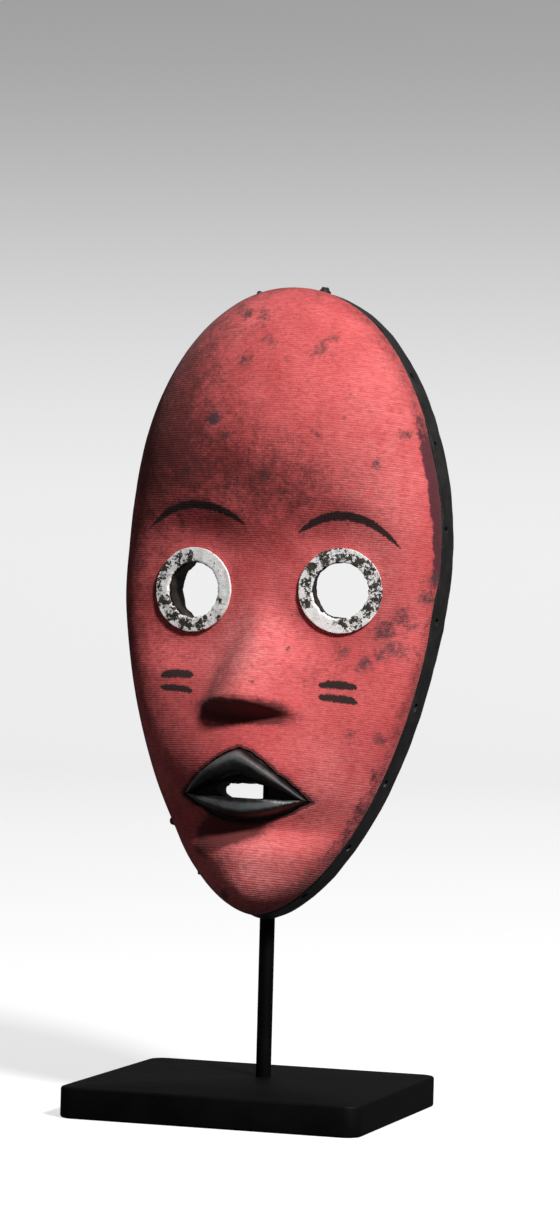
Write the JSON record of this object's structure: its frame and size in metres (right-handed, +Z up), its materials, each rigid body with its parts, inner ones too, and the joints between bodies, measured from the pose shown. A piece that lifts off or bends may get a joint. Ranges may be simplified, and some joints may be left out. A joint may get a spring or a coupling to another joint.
{
  "type": "dan mask",
  "caption": "Oval carved wooden face mask covered in red cloth, with flat metal rings round open eyes and parted black lips, held up on a steel rod and foot plate.",
  "frame": {"origin": "centre of the foot plate's underside", "axes": "+Z up along the rod, -Y out of the mask's face, +X to the right of someone facing the mask"},
  "size_m": [0.1309, 0.11, 0.3228],
  "materials": {
    "black_wood": "oiled, worn",
    "red_cloth": "matt ribbed cotton, stained",
    "ring_metal": "beaten, worn, flecked with black",
    "stand_steel": "matt black"
  },
  "bodies": {
    "root": {"wooden_mask": "black_wood", "cloth_cover": "red_cloth", "eye_ring_right": "ring_metal", "eye_ring_left": "ring_metal", "stand_foot": "stand_steel", "stand_rod": "stand_steel"}
  },
  "joints": []
}
